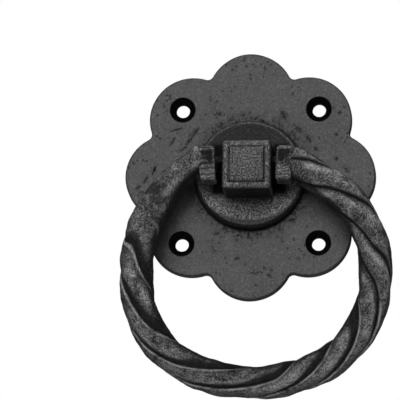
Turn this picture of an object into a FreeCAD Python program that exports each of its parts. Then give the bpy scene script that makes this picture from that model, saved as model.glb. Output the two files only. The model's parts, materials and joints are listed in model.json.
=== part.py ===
import FreeCAD, Part
import math
import os
import Sketcher

# Ring handle on an eight-lobed rose. Millimetres, +Z up, the front faces -Y.
# The origin is the centre of the rose's back face, where it meets the door.

SIZES = [
    # Rose plate
    ("plate_reach", 51.0, "centre of the rose to the tip of a lobe"),
    ("plate_thickness", 5.0, "back face to front face"),
    ("lobe_radius", 17.6, "rounding of one lobe"),
    ("valley_round", 2.5, "rounding between two lobes"),
    ("plate_bevel", 0.9, "worn front edge of the rose"),
    ("screw_circle", 78.6, "circle through the four screw holes"),
    ("screw_hole", 5.5, "clearance for a number 10 or 12 wood screw"),
    ("screw_head", 10.5, "countersink at the front face"),
    ("recess_width", 32.0, "round recess in the back face"),
    ("recess_depth", 3.0, "room for the washer and the retaining ring"),
    # Knuckle: collar, block, panel and journal in one casting
    ("collar_width", 45.0, "round collar where it meets the rose"),
    ("collar_thickness", 5.0, "collar at its lip"),
    ("collar_taper", 2.0, "how far the side of the collar leans in towards the lip"),
    ("collar_gap", 0.2, "running gap between collar and rose"),
    ("dish_width", 40.0, "hollow in the face of the collar"),
    ("dish_depth", 2.2, "depth of that hollow at the middle"),
    ("block_width", 20.0, "square block, across and up"),
    ("block_reach", 29.0, "back of the rose to the front of the block"),
    ("block_bevel", 1.2, "worn edges of the block"),
    ("panel_width", 14.8, "raised square on the front of the block"),
    ("panel_rise", 1.0, "height of that square"),
    ("panel_bevel", 0.5, "worn edge of that square"),
    ("journal_width", 16.0, "round shank that turns in the rose"),
    ("journal_gap", 0.1, "running gap all round the journal"),
    ("journal_setback", 0.3, "end of the journal below the back face"),
    ("spindle_width", 8.0, "square socket for a latch spindle"),
    ("spindle_depth", 12.0, "depth of that socket"),
    ("pivot_reach", 19.5, "back of the rose to the axis of the ring"),
    ("pivot_rise", 1.6, "middle of the block up to the axis of the ring"),
    ("bore_depth", 6.5, "blind bore in each side of the block"),
    # Washer and retaining ring behind the rose
    ("washer_width", 28.0, "washer outside"),
    ("washer_thickness", 0.8, "washer"),
    ("clip_thickness", 1.0, "retaining ring"),
    ("clip_play", 0.1, "gap between retaining ring and washer"),
    ("clip_band", 2.2, "radial width of the retaining ring"),
    ("clip_bite", 0.5, "depth of the groove that holds it"),
    ("clip_seat", 0.05, "gap between the retaining ring and its groove"),
    ("clip_mouth", 5.0, "gap between the ends of the retaining ring"),
    ("clip_ear_width", 4.6, "round ear at each end"),
    ("clip_ear_hole", 1.7, "plier hole in each ear"),
    # Ring: twisted bar, two eyes and two pegs in one forging
    ("bar_radius", 6.9, "centre of the bar to the crest of a strand"),
    ("groove_depth", 1.25, "groove between two strands, below the crest"),
    ("strand_lead", 103.0, "bar length in which a strand goes once round"),
    ("neck_radius", 5.0, "bar where it leaves the eye"),
    ("taper_length", 24.0, "bar length from the neck to full thickness"),
    ("ring_drop", 40.4, "axis of the pegs down to the middle of the ring"),
    ("ring_lean", 3.3, "middle of the ring to the right of the knuckle"),
    ("right_shoulder", 44.8, "midline radius, upper right"),
    ("right_side", 48.4, "midline radius, right"),
    ("right_corner", 50.8, "midline radius, lower right"),
    ("ring_bottom", 48.9, "midline radius, lowest point"),
    ("left_corner", 51.0, "midline radius, lower left"),
    ("left_side", 48.0, "midline radius, left"),
    ("left_shoulder", 46.8, "midline radius, upper left"),
    ("right_eye_gap", 1.6, "side of the block to the right eye"),
    ("left_eye_gap", 3.0, "side of the block to the left eye"),
    ("eye_length", 6.4, "eye, along the peg"),
    ("eye_height", 14.0, "eye, up and down"),
    ("eye_depth", 11.4, "eye, front to back"),
    ("eye_bevel", 1.9, "hammered facets along the edges of the eye"),
    ("peg_width", 7.0, "peg that the ring swings on"),
    ("peg_gap", 0.06, "running gap all round a peg"),
    ("peg_bite", 5.6, "length of a peg inside the block"),
]

LOBES = 8
SCREWS = 4
STRANDS = 4
FULL_TURN = 360
COUNTERSINK_ANGLE = 90
NEAR = 1e-4

doc = FreeCAD.newDocument("RingHandle")
sheet = doc.addObject("Spreadsheet::Sheet", "Sizes")
for row, (alias, value, meaning) in enumerate(SIZES, start=1):
    sheet.set("A%d" % row, alias)
    sheet.set("B%d" % row, str(value))
    sheet.set("C%d" % row, meaning)
    sheet.setAlias("B%d" % row, alias)
doc.recompute()


def size(alias):
    """Value of one driving size."""
    return float(sheet.get(alias))


def direction(degrees):
    """Unit vector in the plane of the rose, from +X towards +Z."""
    angle = math.radians(degrees)
    return FreeCAD.Vector(math.cos(angle), 0, math.sin(angle))


FRONT = FreeCAD.Vector(0, -1, 0)
IN_SKETCH = FreeCAD.Vector(0, 0, 1)


# Sketches. On XZ_Plane a sketch has X across, Z up and the front outwards.

def new_body(name):
    body = doc.addObject("PartDesign::Body", name)
    body.Label = name
    return body


def new_sketch(body, name, role, lift):
    """Sketch parallel to one of the body's origin planes, lifted off it."""
    plane = next(item for item in body.Origin.OriginFeatures if item.Role == role)
    sketch = body.newObject("Sketcher::SketchObject", name)
    sketch.AttachmentSupport = [(plane, "")]
    sketch.MapMode = "FlatFace"
    sketch.setExpression("AttachmentOffset.Base.z", lift)
    return sketch


def bind(sketch, constraint, name, expression):
    """Add one driving constraint and tie it to the sheet."""
    index = sketch.addConstraint(constraint)
    sketch.renameConstraint(index, name)
    sketch.setExpression("Constraints." + name, expression)


def add_circle(sketch, name, width, across=None, up=None):
    """Circle of a bound diameter, on the sketch's origin or off it."""
    index = sketch.addGeometry(Part.Circle(FreeCAD.Vector(1, 1, 0), IN_SKETCH, 1), False)
    bind(sketch, Sketcher.Constraint("Diameter", index, 2.0), name + "Width", width)
    if across is None and up is None:
        sketch.addConstraint(Sketcher.Constraint("Coincident", index, 3, -1, 1))
        return
    if across is None:
        sketch.addConstraint(Sketcher.Constraint("PointOnObject", index, 3, -2))
    else:
        bind(sketch, Sketcher.Constraint("DistanceX", -1, 1, index, 3, 1.0),
             name + "Across", across)
    if up is None:
        sketch.addConstraint(Sketcher.Constraint("PointOnObject", index, 3, -1))
    else:
        bind(sketch, Sketcher.Constraint("DistanceY", -1, 1, index, 3, 1.0),
             name + "Up", up)


def add_square(sketch, name, width):
    """Square of a bound width, centred on the sketch's origin."""
    corners = [FreeCAD.Vector(x, y, 0) for x, y in ((-1, -1), (1, -1), (1, 1), (-1, 1))]
    sides = []
    for start, end in zip(corners, corners[1:] + corners[:1]):
        sides.append(sketch.addGeometry(Part.LineSegment(start, end), False))
    for this, following in zip(sides, sides[1:] + sides[:1]):
        sketch.addConstraint(Sketcher.Constraint("Coincident", this, 2, following, 1))
    for level in (sides[0], sides[2]):
        sketch.addConstraint(Sketcher.Constraint("Horizontal", level))
    for upright in (sides[1], sides[3]):
        sketch.addConstraint(Sketcher.Constraint("Vertical", upright))
    sketch.addConstraint(Sketcher.Constraint("Symmetric", sides[0], 1, sides[2], 1, -1, 1))
    bind(sketch, Sketcher.Constraint("DistanceX", sides[0], 1, sides[0], 2, 2.0),
         name + "Across", width)
    bind(sketch, Sketcher.Constraint("DistanceY", sides[1], 1, sides[1], 2, 2.0),
         name + "Up", width)


# Features

def pad(body, name, sketch, length):
    """Material added from the sketch towards the front."""
    feature = body.newObject("PartDesign::Pad", name)
    feature.Profile = sketch
    feature.setExpression("Length", length)
    doc.recompute()
    return feature


def pocket(body, name, sketch, length, reversed_cut):
    """Material cut away; it has to take something off the body."""
    before = body.Shape.Volume
    feature = body.newObject("PartDesign::Pocket", name)
    feature.Profile = sketch
    feature.Reversed = reversed_cut
    feature.setExpression("Length", length)
    doc.recompute()
    if body.Shape.Volume >= before:
        raise RuntimeError(name + " cuts nothing")
    return feature


def pattern(body, name, features, count):
    """Copies of features spaced evenly round the axis of the rose."""
    feature = body.newObject("PartDesign::PolarPattern", name)
    feature.Originals = features
    axis = next(item for item in body.Origin.OriginFeatures if item.Role == "Y_Axis")
    feature.Axis = (axis, [""])
    feature.Angle = FULL_TURN
    feature.Occurrences = count
    body.Tip = feature
    doc.recompute()
    return feature


def soften(body, name, kind, base, chosen, reach):
    """Fillet or chamfer on the edges for which chosen(edge) is true."""
    names = []
    for index, edge in enumerate(base.Shape.Edges, start=1):
        if chosen(edge):
            names.append("Edge%d" % index)
    if not names:
        raise RuntimeError(name + " finds no edge")
    feature = body.newObject("PartDesign::" + kind, name)
    feature.Base = (base, names)
    feature.setExpression("Radius" if kind == "Fillet" else "Size", reach)
    body.Tip = feature
    doc.recompute()
    return feature


def at_depth(edge, depth):
    """True for an edge that lies wholly that far in front of the back face."""
    return max(abs(edge.BoundBox.YMin + depth), abs(edge.BoundBox.YMax + depth)) < NEAR


# Rose plate: a hub and eight lobes, softened, with four countersunk holes

def make_backplate():
    body = new_body("backplate")

    hub = new_sketch(body, "HubOutline", "XZ_Plane", "0 mm")
    add_circle(hub, "Hub", "2 * (Sizes.plate_reach - Sizes.lobe_radius)")
    pad(body, "Hub", hub, "Sizes.plate_thickness")
    lobe = new_sketch(body, "LobeOutline", "XZ_Plane", "0 mm")
    add_circle(lobe, "Lobe", "2 * Sizes.lobe_radius",
               up="Sizes.plate_reach - Sizes.lobe_radius")
    one_lobe = pad(body, "Lobe", lobe, "Sizes.plate_thickness")
    lobes = pattern(body, "Lobes", [one_lobe], LOBES)

    thickness = size("plate_thickness")

    def in_valley(edge):
        box = edge.BoundBox
        return box.YLength > thickness - NEAR and box.XLength + box.ZLength < NEAR

    valleys = soften(body, "Valleys", "Fillet", lobes, in_valley, "Sizes.valley_round")
    soften(body, "FrontBevel", "Chamfer", valleys, lambda edge: at_depth(edge, thickness),
           "Sizes.plate_bevel")

    place = "Sizes.screw_circle / 2 * cos(%g deg)" % (FULL_TURN / 2 / SCREWS)
    shank = new_sketch(body, "ScrewShank", "XZ_Plane", "Sizes.plate_thickness")
    add_circle(shank, "Screw", "Sizes.screw_hole", across=place, up=place)
    hole = body.newObject("PartDesign::Hole", "ScrewHole")
    doc.recompute()
    hole.Profile = shank
    hole.ThreadType = "None"
    hole.DepthType = "ThroughAll"
    hole.setExpression("Diameter", "Sizes.screw_hole")
    hole.HoleCutType = "Countersink"
    hole.HoleCutCustomValues = True
    hole.setExpression("HoleCutDiameter", "Sizes.screw_head")
    hole.HoleCutCountersinkAngle = COUNTERSINK_ANGLE
    doc.recompute()
    pattern(body, "ScrewHoles", [hole], SCREWS)

    recess = new_sketch(body, "BackRecessOutline", "XZ_Plane", "0 mm")
    add_circle(recess, "Recess", "Sizes.recess_width")
    pocket(body, "BackRecess", recess, "Sizes.recess_depth", True)
    bore = new_sketch(body, "JournalBoreOutline", "XZ_Plane", "0 mm")
    add_circle(bore, "Bore", "Sizes.journal_width + 2 * Sizes.journal_gap")
    pocket(body, "JournalBore", bore, "Sizes.plate_thickness", True)
    return body


# Knuckle: one casting with the collar, the square block and the journal

def make_knuckle():
    body = new_body("knuckle")
    collar_back = "Sizes.plate_thickness + Sizes.collar_gap"
    collar_face = collar_back + " + Sizes.collar_thickness"

    collar = new_sketch(body, "CollarOutline", "XZ_Plane", collar_back)
    add_circle(collar, "Collar", "Sizes.collar_width")
    disc = pad(body, "Collar", collar, "Sizes.collar_thickness")
    disc.setExpression("TaperAngle", "-atan(Sizes.collar_taper / Sizes.collar_thickness)")
    doc.recompute()

    hollow = body.newObject("PartDesign::SubtractiveSphere", "CollarDish")
    dish_radius = "((Sizes.dish_width / 2)^2 + Sizes.dish_depth^2) / (2 * Sizes.dish_depth)"
    hollow.setExpression("Radius", dish_radius)
    hollow.setExpression("Placement.Base.y", "-(%s - Sizes.dish_depth + %s)"
                         % (collar_face, dish_radius))
    doc.recompute()

    floor = collar_back + " + Sizes.collar_thickness / 2"
    block = new_sketch(body, "BlockOutline", "XZ_Plane", floor)
    add_square(block, "Block", "Sizes.block_width")
    cube = pad(body, "Block", block, "Sizes.block_reach - (%s)" % floor)
    half = size("block_width") / 2
    reach = size("block_reach")

    def on_block(edge):
        box = edge.BoundBox
        if at_depth(edge, reach):
            return True
        corner = abs(abs(box.Center.x) - half) + abs(abs(box.Center.z) - half)
        return corner < NEAR and abs(box.YMin + reach) < NEAR

    soften(body, "BlockBevel", "Chamfer", cube, on_block, "Sizes.block_bevel")

    panel = new_sketch(body, "PanelOutline", "XZ_Plane",
                       "Sizes.block_reach - Sizes.panel_rise")
    add_square(panel, "Panel", "Sizes.panel_width")
    raised = pad(body, "Panel", panel, "2 * Sizes.panel_rise")
    front = reach + size("panel_rise")
    soften(body, "PanelBevel", "Chamfer", raised, lambda edge: at_depth(edge, front),
           "Sizes.panel_bevel")

    journal = new_sketch(body, "JournalOutline", "XZ_Plane", "Sizes.journal_setback")
    add_circle(journal, "Journal", "Sizes.journal_width")
    pad(body, "Journal", journal, "(%s) - Sizes.journal_setback" % floor)
    spindle = new_sketch(body, "SpindleOutline", "XZ_Plane", "Sizes.journal_setback")
    add_square(spindle, "Spindle", "Sizes.spindle_width")
    pocket(body, "SpindleSocket", spindle, "Sizes.spindle_depth", True)

    groove = new_sketch(body, "ClipGrooveOutline", "XZ_Plane",
                        "Sizes.recess_depth - Sizes.washer_thickness"
                        " - 2 * Sizes.clip_play - Sizes.clip_thickness")
    add_circle(groove, "GrooveOutside", "Sizes.journal_width + 2 * Sizes.clip_band")
    add_circle(groove, "GrooveFloor", "Sizes.journal_width - 2 * Sizes.clip_bite")
    pocket(body, "ClipGroove", groove, "Sizes.clip_thickness + 2 * Sizes.clip_play", True)

    side = new_sketch(body, "PegBoreOutline", "YZ_Plane", "Sizes.block_width / 2")
    side.setExpression("AttachmentOffset.Base.x", "-Sizes.pivot_reach")
    side.setExpression("AttachmentOffset.Base.y", "Sizes.pivot_rise")
    add_circle(side, "PegBore", "Sizes.peg_width + 2 * Sizes.peg_gap")
    right_bore = pocket(body, "PegBore", side, "Sizes.bore_depth", False)
    mirror = body.newObject("PartDesign::Mirrored", "PegBores")
    mirror.Originals = [right_bore]
    plane = next(item for item in body.Origin.OriginFeatures if item.Role == "YZ_Plane")
    mirror.MirrorPlane = (plane, [""])
    body.Tip = mirror
    doc.recompute()
    return body


# Washer, flat against the web of the rose

def make_back_washer():
    body = new_body("back_washer")
    outline = new_sketch(body, "WasherOutline", "XZ_Plane",
                         "Sizes.recess_depth - Sizes.washer_thickness")
    add_circle(outline, "Outside", "Sizes.washer_width")
    add_circle(outline, "Inside", "Sizes.journal_width + 2 * Sizes.journal_gap")
    pad(body, "Washer", outline, "Sizes.washer_thickness")
    return body


# Retaining ring: an open band with a drilled ear at each end

def make_retaining_ring():
    body = new_body("retaining_ring")
    back = ("Sizes.recess_depth - Sizes.washer_thickness"
            " - Sizes.clip_play - Sizes.clip_thickness")
    inside = "Sizes.journal_width - 2 * Sizes.clip_bite + 2 * Sizes.clip_seat"

    band = new_sketch(body, "BandOutline", "XZ_Plane", back)
    add_circle(band, "Outside", inside + " + 2 * Sizes.clip_band")
    add_circle(band, "Inside", inside)
    pad(body, "Band", band, "Sizes.clip_thickness")

    across = "(Sizes.clip_mouth + Sizes.clip_ear_width) / 2"
    up = "(%s) / 2 + Sizes.clip_band" % inside
    for side, sign in (("Right", ""), ("Left", "-")):
        ear = new_sketch(body, side + "EarOutline", "XZ_Plane", back)
        ear.setExpression("AttachmentOffset.Base.x", sign + across)
        ear.setExpression("AttachmentOffset.Base.y", up)
        add_circle(ear, "Ear", "Sizes.clip_ear_width")
        pad(body, side + "Ear", ear, "Sizes.clip_thickness")

    mouth = new_sketch(body, "MouthOutline", "XZ_Plane", back)
    mouth.setExpression("AttachmentOffset.Base.y", up)
    add_square(mouth, "Mouth", "Sizes.clip_mouth")
    pocket(body, "Mouth", mouth, "Sizes.clip_thickness", True)
    for side, sign in (("Right", ""), ("Left", "-")):
        eye = new_sketch(body, side + "PlierHoleOutline", "XZ_Plane", back)
        eye.setExpression("AttachmentOffset.Base.x", sign + across)
        eye.setExpression("AttachmentOffset.Base.y", up)
        add_circle(eye, "PlierHole", "Sizes.clip_ear_hole")
        pocket(body, side + "PlierHole", eye, "Sizes.clip_thickness", True)
    return body


# Ring: a hand-forged bar of four strands twisted together, bent into an
# uneven ring, with a square eye and a round peg at each end

# Bearing of the shoulders and corners off level, in degrees.
SHOULDER = 40
# Bar length from one section of the loft to the next.
SECTION_STEP = 13.5
# Share of a strand's opening that its flat crest takes up.
CREST_SHARE = 0.45
# Turn of the first crest at the right eye, from outwards to the front.
FIRST_CREST = 20


def eye_centre(side, gap):
    """Middle of the eye on one side, on the axis of the pegs."""
    across = size("block_width") / 2 + size(gap) + size("eye_length") / 2
    return FreeCAD.Vector(side * across, -size("pivot_reach"), size("pivot_rise"))


def ring_middle():
    """Point that the bearings and radii of the midline are measured from."""
    height = size("pivot_rise") - size("ring_drop")
    return FreeCAD.Vector(size("ring_lean"), -size("pivot_reach"), height)


def ring_midline():
    """Line through the middle of the bar, from the right eye to the left."""
    stations = (
        (SHOULDER, "right_shoulder"),
        (0, "right_side"),
        (-SHOULDER, "right_corner"),
        (-90, "ring_bottom"),
        (SHOULDER - 180, "left_corner"),
        (-180, "left_side"),
        (-180 - SHOULDER, "left_shoulder"),
    )
    points = [eye_centre(1, "right_eye_gap")]
    for bearing, radius in stations:
        points.append(ring_middle() + direction(bearing) * size(radius))
    points.append(eye_centre(-1, "left_eye_gap"))
    curve = Part.BSplineCurve()
    curve.interpolate(points)
    return curve.toShape()


def bar_section(centre, outward, crest_angle, scale):
    """Closed outline across the bar: each strand has a flat crest and two sides."""
    crest = size("bar_radius") * scale
    groove = (size("bar_radius") - size("groove_depth")) * scale
    half = math.pi / STRANDS
    # The middle of a strand's round lies off the middle of the bar.
    offset = (crest**2 - groove**2) / (2 * (crest - groove * math.cos(half)))
    opening = math.atan2(groove * math.sin(half), groove * math.cos(half) - offset)
    corners = []
    for strand in range(STRANDS):
        turn = math.radians(crest_angle) + 2 * half * strand
        for sweep in (-opening, -opening * CREST_SHARE, opening * CREST_SHARE):
            along = offset + (crest - offset) * math.cos(sweep)
            across = (crest - offset) * math.sin(sweep)
            angle = turn + math.atan2(across, along)
            spoke = outward * math.cos(angle) + FRONT * math.sin(angle)
            corners.append(centre + spoke * math.hypot(along, across))
    return Part.makePolygon(corners + corners[:1])


def make_twisted_bar():
    """Loft through evenly spaced sections that turn along the midline."""
    midline = ring_midline()
    count = round(midline.Length / SECTION_STEP)
    sections = []
    for index in range(count + 1):
        along = midline.Length * index / count
        parameter = midline.getParameterByLength(along)
        outward = FRONT.cross(midline.tangentAt(parameter))
        from_end = min(along, midline.Length - along) / size("taper_length")
        ease = math.sin(math.pi / 2 * min(from_end, 1))
        neck = size("neck_radius") / size("bar_radius")
        crest_angle = FIRST_CREST - FULL_TURN * along / size("strand_lead")
        sections.append(bar_section(midline.valueAt(parameter), outward, crest_angle,
                                    neck + (1 - neck) * ease))
    bar = doc.addObject("Part::Feature", "TwistedBar")
    bar.Shape = Part.makeLoft(sections, True, False)
    return bar


def make_eye(name, side, gap):
    """Square end of the bar with a facet along every edge."""
    block = doc.addObject("Part::Box", name + "Block")
    block.setExpression("Length", "Sizes.eye_length")
    block.setExpression("Width", "Sizes.eye_depth")
    block.setExpression("Height", "Sizes.eye_height")
    start = "Sizes.block_width / 2 + Sizes." + gap
    if side < 0:
        start = "-(%s + Sizes.eye_length)" % start
    block.setExpression("Placement.Base.x", start)
    block.setExpression("Placement.Base.y", "-Sizes.pivot_reach - Sizes.eye_depth / 2")
    block.setExpression("Placement.Base.z", "Sizes.pivot_rise - Sizes.eye_height / 2")
    doc.recompute()
    eye = doc.addObject("Part::Chamfer", name)
    eye.Base = block
    facet = size("eye_bevel")
    eye.Edges = [(index, facet, facet) for index in range(1, len(block.Shape.Edges) + 1)]
    doc.recompute()
    return eye


def make_peg(name, side, gap):
    """Round peg from the middle of the eye into the block's side bore."""
    peg = doc.addObject("Part::Cylinder", name)
    peg.setExpression("Radius", "Sizes.peg_width / 2")
    peg.setExpression("Height", "Sizes.peg_bite + Sizes.%s + Sizes.eye_length / 2" % gap)
    tip = side * (size("block_width") / 2 - size("peg_bite"))
    turn = FreeCAD.Rotation(FreeCAD.Vector(0, 1, 0), side * 90)
    peg.Placement = FreeCAD.Placement(FreeCAD.Vector(tip, 0, 0), turn)
    sign = "" if side > 0 else "-"
    peg.setExpression("Placement.Base.x",
                      sign + "(Sizes.block_width / 2 - Sizes.peg_bite)")
    peg.setExpression("Placement.Base.y", "-Sizes.pivot_reach")
    peg.setExpression("Placement.Base.z", "Sizes.pivot_rise")
    return peg


def make_ring():
    parts = [make_twisted_bar()]
    for name, side, gap in (("Right", 1, "right_eye_gap"), ("Left", -1, "left_eye_gap")):
        parts.append(make_eye(name + "Eye", side, gap))
        parts.append(make_peg(name + "Peg", side, gap))
    ring = doc.addObject("Part::MultiFuse", "ring")
    ring.Label = "ring"
    ring.Shapes = parts
    doc.recompute()
    return ring


# Build, check and write

nodes = [make_backplate(), make_knuckle(), make_back_washer(), make_retaining_ring(),
         make_ring()]
doc.recompute()
for item in doc.Objects:
    if "Invalid" in item.State or "Error" in item.State:
        raise RuntimeError("%s failed: %s" % (item.Name, item.State))
for node in nodes:
    shape = node.Shape
    if shape.isNull() or not shape.isValid() or len(shape.Solids) != 1:
        raise RuntimeError("%s is not one valid solid" % node.Label)

os.makedirs("parts", exist_ok=True)
for node in nodes:
    node.Shape.exportStep(os.path.join("parts", node.Label + ".step"))
    box = node.Shape.BoundBox
    print("%-15s %9.1f mm3  x %6.1f %6.1f  y %6.1f %6.1f  z %6.1f %6.1f" % (
        node.Label, node.Shape.Volume, box.XMin, box.XMax, box.YMin, box.YMax,
        box.ZMin, box.ZMax))
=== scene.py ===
import json
import math

import bmesh
import bpy
import numpy as np
from mathutils import Matrix, Vector, noise


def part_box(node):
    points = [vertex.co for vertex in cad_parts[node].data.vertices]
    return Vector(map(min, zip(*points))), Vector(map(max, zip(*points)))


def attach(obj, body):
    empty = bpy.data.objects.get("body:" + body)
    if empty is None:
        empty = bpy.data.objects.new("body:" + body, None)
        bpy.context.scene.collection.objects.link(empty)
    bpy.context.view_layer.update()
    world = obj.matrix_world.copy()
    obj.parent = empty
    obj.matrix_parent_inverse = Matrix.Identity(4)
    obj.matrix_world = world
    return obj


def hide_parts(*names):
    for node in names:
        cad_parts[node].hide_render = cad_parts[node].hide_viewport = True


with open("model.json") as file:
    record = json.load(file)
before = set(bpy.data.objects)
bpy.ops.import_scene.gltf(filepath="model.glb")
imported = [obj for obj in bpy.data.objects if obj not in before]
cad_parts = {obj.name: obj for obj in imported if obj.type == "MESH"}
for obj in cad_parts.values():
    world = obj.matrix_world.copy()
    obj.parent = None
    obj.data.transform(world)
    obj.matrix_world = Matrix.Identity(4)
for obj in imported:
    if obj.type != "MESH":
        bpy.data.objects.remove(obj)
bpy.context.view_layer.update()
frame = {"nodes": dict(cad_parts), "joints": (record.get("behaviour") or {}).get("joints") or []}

# Ring handle on an eight-lobed rose, in metres. +Z is up and the front faces -Y.

MM = 0.001
FRONT = Vector((0, -1, 0))
UP = Vector((0, 0, 1))
TURN = 2 * math.pi


# Places read from the frame

rose_low, rose_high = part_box("backplate")
knuckle_low, knuckle_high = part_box("knuckle")
washer_low, washer_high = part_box("back_washer")
clip_low, clip_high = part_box("retaining_ring")
joints = {joint["name"]: joint for joint in frame["joints"]}
pivot = Vector(joints["ring_swing"]["pos_m"])


# Sizes that the frame does not give

LOBES = 8
lobe_radius = 17.6 * MM
valley_round = 2.5 * MM
rose_reach = rose_high.z
rose_depth = rose_high.y - rose_low.y

screw_circle = 78.6 * MM
screw_hole = 5.5 * MM
screw_head = 10.5 * MM
recess_width = 32 * MM
recess_depth = 3 * MM

collar_radius = knuckle_high.x
collar_back = rose_depth + 0.2 * MM
collar_depth = 5 * MM
collar_taper = 1.1 * MM
dish_radius = 20.9 * MM
dish_depth = 2.2 * MM
block_width = 20 * MM
panel_width = 14.8 * MM
panel_rise = 1 * MM
block_front = -knuckle_low.y - panel_rise
journal_radius = 8 * MM
journal_back = -knuckle_high.y
clip_bite = 0.5 * MM
clip_play = 0.2 * MM
spindle_width = 8 * MM
spindle_depth = 12 * MM

STRANDS = 4
bar_radius = 6.9 * MM
groove_depth = 1.25 * MM
neck_radius = 5.8 * MM
taper_length = 24 * MM
peg_radius = 3.5 * MM
peg_bite = 5.6 * MM
eye_length = 6.4 * MM
eye_height = 14 * MM
eye_depth = 11.4 * MM
right_eye_gap = 1.6 * MM
left_eye_gap = 3.0 * MM
ring_drop = 40.4 * MM
ring_lean = 3.3 * MM
ring_middle = pivot + Vector((ring_lean, 0, -ring_drop))

# Midline of the bar round its middle: bearing in degrees, radius.
MIDLINE = (
    (40, 44.8 * MM),
    (0, 48.4 * MM),
    (-40, 50.8 * MM),
    (-90, 48.9 * MM),
    (-140, 51.0 * MM),
    (-180, 48.0 * MM),
    (-220, 46.8 * MM),
)


# The camera stands far off, a little below and to the right.

CAMERA_AZIMUTH = 4.36
CAMERA_ELEVATION = -11.72
CAMERA_ROLL = -0.5
CAMERA_DISTANCE = 2.5
AIM = Vector((-20.8 * MM, 0, -8.67 * MM))
FRAME_WIDTH = 162.9 * MM
SENSOR_WIDTH = 36

# Light: the lamps look at the middle of the handle, and a weak fill comes from all round.
HANDLE_MIDDLE = Vector((0, 0, -30 * MM))
FILL_STRENGTH = 0.045


def add_camera():
    azimuth = math.radians(CAMERA_AZIMUTH)
    elevation = math.radians(CAMERA_ELEVATION)
    away = Vector((math.sin(azimuth) * math.cos(elevation),
                   -math.cos(azimuth) * math.cos(elevation),
                   math.sin(elevation)))
    data = bpy.data.cameras.new("camera")
    camera = bpy.data.objects.new("camera", data)
    data.sensor_width = SENSOR_WIDTH
    data.lens = data.sensor_width * CAMERA_DISTANCE / FRAME_WIDTH
    data.clip_end = 10 * CAMERA_DISTANCE
    turn = (-away).to_track_quat("-Z", "Y").to_matrix().to_4x4()
    roll = Matrix.Rotation(math.radians(-CAMERA_ROLL), 4, "Z")
    camera.matrix_world = Matrix.Translation(AIM + away * CAMERA_DISTANCE) @ turn @ roll
    bpy.context.scene.collection.objects.link(camera)
    bpy.context.scene.camera = camera


def add_lamp(name, place, width, height, power):
    """Soft rectangular lamp that looks at the middle of the handle."""
    data = bpy.data.lights.new(name, "AREA")
    data.shape = "RECTANGLE"
    data.size = width
    data.size_y = height
    data.energy = power
    lamp = bpy.data.objects.new(name, data)
    aim = (HANDLE_MIDDLE - Vector(place)).to_track_quat("-Z", "Y")
    lamp.matrix_world = Matrix.Translation(place) @ aim.to_matrix().to_4x4()
    bpy.context.scene.collection.objects.link(lamp)


def add_surroundings():
    """White to the camera and in reflections, a soft even light on surfaces."""
    world = bpy.data.worlds.new("studio")
    bpy.context.scene.world = world
    world.use_nodes = True
    tree = world.node_tree
    tree.nodes.clear()
    output = tree.nodes.new("ShaderNodeOutputWorld")
    fill = tree.nodes.new("ShaderNodeBackground")
    fill.inputs["Color"].default_value = (1, 1, 1, 1)
    fill.inputs["Strength"].default_value = FILL_STRENGTH
    white = tree.nodes.new("ShaderNodeBackground")
    white.inputs["Color"].default_value = (1, 1, 1, 1)
    white.inputs["Strength"].default_value = 1
    ray = tree.nodes.new("ShaderNodeLightPath")
    mix = tree.nodes.new("ShaderNodeMixShader")
    tree.links.new(ray.outputs["Is Camera Ray"], mix.inputs["Fac"])
    tree.links.new(fill.outputs[0], mix.inputs[1])
    tree.links.new(white.outputs[0], mix.inputs[2])
    tree.links.new(mix.outputs[0], output.inputs["Surface"])


# Shared modelling steps

def skin(bm, across, along, place):
    """Grid of quads, bent into a skin by place(u, v) with u and v from 0 to 1."""
    made = bmesh.ops.create_grid(bm, x_segments=across, y_segments=along, size=1)
    for vert in made["verts"]:
        vert.co = place((vert.co.x + 1) / 2, (vert.co.y + 1) / 2)
    return made["verts"]


WELD_GAP = 0.0001 * MM


def close_skin(bm, verts):
    """Welds the seams of a skin and turns its faces outwards."""
    bmesh.ops.remove_doubles(bm, verts=verts, dist=WELD_GAP)
    bmesh.ops.recalc_face_normals(bm, faces=bm.faces)


def as_object(bm, name):
    """Puts the finished mesh into the scene with smooth shading."""
    mesh = bpy.data.meshes.new(name)
    bm.to_mesh(mesh)
    bm.free()
    for polygon in mesh.polygons:
        polygon.use_smooth = True
    made = bpy.data.objects.new(name, mesh)
    bpy.context.scene.collection.objects.link(made)
    return made


def combine(target, tool, operation):
    """Joins a tool to a piece or cuts it away, and leaves one closed mesh."""
    step = target.modifiers.new(operation.lower(), "BOOLEAN")
    step.operation = operation
    step.solver = "EXACT"
    step.object = tool
    view = bpy.context.evaluated_depsgraph_get()
    result = bpy.data.meshes.new_from_object(target.evaluated_get(view))
    target.modifiers.clear()
    target.data = result
    bpy.data.objects.remove(tool)
    return target


def rough(point, scale, seed):
    """Smooth noise from -1 to 1 at a feature size in metres."""
    return noise.noise(point / scale + Vector((seed, 2.3 * seed, -1.7 * seed)))


def relief(point, marks):
    """Height of several layers of marks, each with its height, its size and a seed."""
    return sum(height * rough(point, size, seed) for height, size, seed in marks)


def ease_between(value, low, high):
    """Smooth step from 0 at low to 1 at high."""
    share = max(0, min(1, (value - low) / (high - low)))
    return share * share * (3 - 2 * share)


def bump_between(value, low, high):
    """Smooth hump that is 0 outside low and high and 1 in the middle."""
    share = (value - low) / (high - low)
    if not 0 < share < 1:
        return 0
    return math.sin(math.pi * share) ** 2


# Ring: midline, twist and section of the forged bar

def eye_centre(side, gap):
    """Middle of the right (1) or left (-1) eye at its running gap from the block."""
    return pivot + Vector((side * (block_width / 2 + gap + eye_length / 2), 0, 0))


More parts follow.
